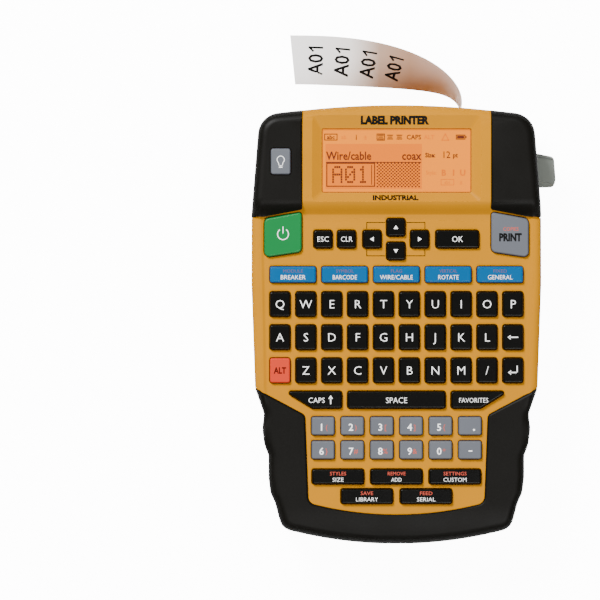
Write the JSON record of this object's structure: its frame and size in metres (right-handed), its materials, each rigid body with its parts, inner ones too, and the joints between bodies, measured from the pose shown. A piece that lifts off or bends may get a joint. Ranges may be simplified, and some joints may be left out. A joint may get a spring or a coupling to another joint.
{
  "type": "hand-held label maker",
  "caption": "Rugged hand-held label maker with a lit display, full letter keyboard, side cutter lever, rubber bumpers, a hinged tape bay on the back and a printed strip leaving its top.",
  "frame": {"origin": "on the flat back of the rear casing, on its middle line, where the outline's height is halved", "axes": "+X to the right of the keyboard, +Y towards the display end, +Z out of the keys"},
  "size_m": [0.1485, 0.2484, 0.0556],
  "materials": {
    "yellow": "light texture",
    "bumper_rubber": "matt",
    "black_key": "matt",
    "grey_key": "matt",
    "green_key": "matt",
    "blue_key": "matt",
    "red_key": "matt",
    "grey_lever": "matt",
    "dark_plastic": "matt",
    "white_plastic": "matt",
    "steel": "brushed",
    "circuit_board": "solder mask",
    "silicone": "matt",
    "display": "lit panel",
    "clear_window": "clear",
    "label_tape": "satin film"
  },
  "bodies": {
    "casing": {"front_casing": "yellow", "rear_casing": "yellow", "top_left_bumper": "bumper_rubber", "top_right_bumper": "bumper_rubber", "lower_bumper": "bumper_rubber", "display_window": "clear_window", "lcd_module": "display", "main_board": "circuit_board", "keypad_mat": "silicone", "power_jack": "dark_plastic", "battery_pack": "dark_plastic", "cassette_bay": "dark_plastic", "gear_plate": "steel", "feed_motor": "steel", "cassette_shell": "dark_plastic", "print_head": "steel", "lever_pivot_pin": "steel", "lever_spring": "steel", "casing_screw_1": "steel", "casing_screw_2": "steel", "casing_screw_3": "steel", "casing_screw_4": "steel"},
    "cover": {"cassette_cover": "yellow"},
    "battery_door": {"battery_cover": "yellow"},
    "lever": {"cutter_lever": "grey_lever"},
    "blade": {"cutter_blade": "steel", "blade_carriage": "dark_plastic"},
    "platen": {"platen_roller": "silicone", "platen_gear": "white_plastic"},
    "pinion": {"motor_pinion": "white_plastic"},
    "idler": {"idler_gear": "white_plastic"},
    "ribbon_drive": {"ribbon_gear": "white_plastic", "ribbon_takeup_spool": "dark_plastic"},
    "ribbon_supply": {"ribbon_supply_spool": "dark_plastic"},
    "tape_roll": {"tape_spool": "label_tape"},
    "label": {"label_strip": "label_tape"},
    "key_light": {"key_light": "grey_key"},
    "key_power": {"key_power": "green_key"},
    "key_print": {"key_print": "grey_key"},
    "key_escape": {"key_escape": "black_key"},
    "key_clear": {"key_clear": "black_key"},
    "key_left": {"key_left": "black_key"},
    "key_right": {"key_right": "black_key"},
    "key_up": {"key_up": "black_key"},
    "key_down": {"key_down": "black_key"},
    "key_ok": {"key_ok": "black_key"},
    "keys_function_row": {"keys_function_row": "blue_key"},
    "keys_letters_upper": {"keys_letters_upper": "black_key"},
    "keys_letters_home": {"keys_letters_home": "black_key"},
    "keys_letters_lower": {"keys_letters_lower": "black_key"},
    "key_backspace": {"key_backspace": "black_key"},
    "key_enter": {"key_enter": "black_key"},
    "key_alt": {"key_alt": "red_key"},
    "key_caps": {"key_caps": "black_key"},
    "key_favorites": {"key_favorites": "black_key"},
    "key_space": {"key_space": "black_key"},
    "keys_digits_upper": {"keys_digits_upper": "grey_key"},
    "keys_digits_lower": {"keys_digits_lower": "grey_key"},
    "keys_edit_row": {"keys_edit_row": "black_key"},
    "keys_file_row": {"keys_file_row": "black_key"}
  },
  "joints": [
    {"name": "cassette_cover_hinge", "type": "hinge", "parent": "casing", "child": "cover", "pos_m": [0, 0.02, 0.0011], "axis": [-1, 0, 0], "range_deg": [0, 100]},
    {"name": "battery_cover_slide", "type": "slide", "parent": "casing", "child": "battery_door", "axis": [0, -1, 0], "range_m": [0, 0.03]},
    {"name": "cutter_lever_pivot", "type": "hinge", "parent": "casing", "child": "lever", "pos_m": [0.0605, 0.054, 0.016], "axis": [0, 0, 1], "range_deg": [0, 14], "stiffness_Nm_per_rad": 0.4, "springref_deg": -8.59},
    {"name": "cutter_blade_slide", "type": "slide", "parent": "casing", "child": "blade", "axis": [-1, 0, 0], "range_m": [0, 0.0115]},
    {"name": "label_pull", "type": "slide", "parent": "casing", "child": "label", "axis": [0, 1, 0], "range_m": [0, 0.04]},
    {"name": "platen_spin", "type": "hinge", "parent": "casing", "child": "platen", "pos_m": [0.0373, 0.0745, 0.0146], "axis": [0, 0, 1], "continuous": true},
    {"name": "motor_pinion_spin", "type": "hinge", "parent": "casing", "child": "pinion", "pos_m": [0.04649, 0.06679, 0.031], "axis": [0, 0, 1], "continuous": true},
    {"name": "idler_spin", "type": "hinge", "parent": "casing", "child": "idler", "pos_m": [0.02253, 0.0719, 0.031], "axis": [0, 0, 1], "continuous": true},
    {"name": "ribbon_takeup_spin", "type": "hinge", "parent": "casing", "child": "ribbon_drive", "pos_m": [0.01012, 0.07641, 0.0146], "axis": [0, 0, 1], "continuous": true},
    {"name": "ribbon_supply_spin", "type": "hinge", "parent": "casing", "child": "ribbon_supply", "pos_m": [0.013, 0.044, 0.0146], "axis": [0, 0, 1], "continuous": true},
    {"name": "tape_spool_spin", "type": "hinge", "parent": "casing", "child": "tape_roll", "pos_m": [-0.02, 0.056, 0.0146], "axis": [0, 0, 1], "continuous": true},
    {"name": "key_light_press", "type": "slide", "parent": "casing", "child": "key_light", "axis": [0, 0, -1], "range_m": [0, 0.0012], "stiffness_N_per_m": 300, "springref_m": -0.0006},
    {"name": "key_power_press", "type": "slide", "parent": "casing", "child": "key_power", "axis": [0, 0, -1], "range_m": [0, 0.0012], "stiffness_N_per_m": 300, "springref_m": -0.0006},
    {"name": "key_print_press", "type": "slide", "parent": "casing", "child": "key_print", "axis": [0, 0, -1], "range_m": [0, 0.0012], "stiffness_N_per_m": 300, "springref_m": -0.0006},
    {"name": "key_escape_press", "type": "slide", "parent": "casing", "child": "key_escape", "axis": [0, 0, -1], "range_m": [0, 0.0012], "stiffness_N_per_m": 300, "springref_m": -0.0006},
    {"name": "key_clear_press", "type": "slide", "parent": "casing", "child": "key_clear", "axis": [0, 0, -1], "range_m": [0, 0.0012], "stiffness_N_per_m": 300, "springref_m": -0.0006},
    {"name": "key_left_press", "type": "slide", "parent": "casing", "child": "key_left", "axis": [0, 0, -1], "range_m": [0, 0.0012], "stiffness_N_per_m": 300, "springref_m": -0.0006},
    {"name": "key_right_press", "type": "slide", "parent": "casing", "child": "key_right", "axis": [0, 0, -1], "range_m": [0, 0.0012], "stiffness_N_per_m": 300, "springref_m": -0.0006},
    {"name": "key_up_press", "type": "slide", "parent": "casing", "child": "key_up", "axis": [0, 0, -1], "range_m": [0, 0.0012], "stiffness_N_per_m": 300, "springref_m": -0.0006},
    {"name": "key_down_press", "type": "slide", "parent": "casing", "child": "key_down", "axis": [0, 0, -1], "range_m": [0, 0.0012], "stiffness_N_per_m": 300, "springref_m": -0.0006},
    {"name": "key_ok_press", "type": "slide", "parent": "casing", "child": "key_ok", "axis": [0, 0, -1], "range_m": [0, 0.0012], "stiffness_N_per_m": 300, "springref_m": -0.0006},
    {"name": "keys_function_row_press", "type": "slide", "parent": "casing", "child": "keys_function_row", "axis": [0, 0, -1], "range_m": [0, 0.0012], "stiffness_N_per_m": 300, "springref_m": -0.0006},
    {"name": "keys_letters_upper_press", "type": "slide", "parent": "casing", "child": "keys_letters_upper", "axis": [0, 0, -1], "range_m": [0, 0.0012], "stiffness_N_per_m": 300, "springref_m": -0.0006},
    {"name": "keys_letters_home_press", "type": "slide", "parent": "casing", "child": "keys_letters_home", "axis": [0, 0, -1], "range_m": [0, 0.0012], "stiffness_N_per_m": 300, "springref_m": -0.0006},
    {"name": "keys_letters_lower_press", "type": "slide", "parent": "casing", "child": "keys_letters_lower", "axis": [0, 0, -1], "range_m": [0, 0.0012], "stiffness_N_per_m": 300, "springref_m": -0.0006},
    {"name": "key_backspace_press", "type": "slide", "parent": "casing", "child": "key_backspace", "axis": [0, 0, -1], "range_m": [0, 0.0012], "stiffness_N_per_m": 300, "springref_m": -0.0006},
    {"name": "key_enter_press", "type": "slide", "parent": "casing", "child": "key_enter", "axis": [0, 0, -1], "range_m": [0, 0.0012], "stiffness_N_per_m": 300, "springref_m": -0.0006},
    {"name": "key_alt_press", "type": "slide", "parent": "casing", "child": "key_alt", "axis": [0, 0, -1], "range_m": [0, 0.0012], "stiffness_N_per_m": 300, "springref_m": -0.0006},
    {"name": "key_caps_press", "type": "slide", "parent": "casing", "child": "key_caps", "axis": [0, 0, -1], "range_m": [0, 0.0012], "stiffness_N_per_m": 300, "springref_m": -0.0006},
    {"name": "key_favorites_press", "type": "slide", "parent": "casing", "child": "key_favorites", "axis": [0, 0, -1], "range_m": [0, 0.0012], "stiffness_N_per_m": 300, "springref_m": -0.0006},
    {"name": "key_space_press", "type": "slide", "parent": "casing", "child": "key_space", "axis": [0, 0, -1], "range_m": [0, 0.0012], "stiffness_N_per_m": 300, "springref_m": -0.0006},
    {"name": "keys_digits_upper_press", "type": "slide", "parent": "casing", "child": "keys_digits_upper", "axis": [0, 0, -1], "range_m": [0, 0.0012], "stiffness_N_per_m": 300, "springref_m": -0.0006},
    {"name": "keys_digits_lower_press", "type": "slide", "parent": "casing", "child": "keys_digits_lower", "axis": [0, 0, -1], "range_m": [0, 0.0012], "stiffness_N_per_m": 300, "springref_m": -0.0006},
    {"name": "keys_edit_row_press", "type": "slide", "parent": "casing", "child": "keys_edit_row", "axis": [0, 0, -1], "range_m": [0, 0.0012], "stiffness_N_per_m": 300, "springref_m": -0.0006},
    {"name": "keys_file_row_press", "type": "slide", "parent": "casing", "child": "keys_file_row", "axis": [0, 0, -1], "range_m": [0, 0.0012], "stiffness_N_per_m": 300, "springref_m": -0.0006}
  ],
  "couplings": [
    {"joint": "cutter_blade_slide", "follows": "cutter_lever_pivot", "m_per_rad": 0.044},
    {"joint": "platen_spin", "follows": "tape_spool_spin", "ratio": -3.7255},
    {"joint": "motor_pinion_spin", "follows": "tape_spool_spin", "ratio": 11.177},
    {"joint": "idler_spin", "follows": "tape_spool_spin", "ratio": 5.5882},
    {"joint": "ribbon_takeup_spin", "follows": "tape_spool_spin", "ratio": -4.6569},
    {"joint": "ribbon_supply_spin", "follows": "tape_spool_spin", "ratio": 2.2093}
  ]
}
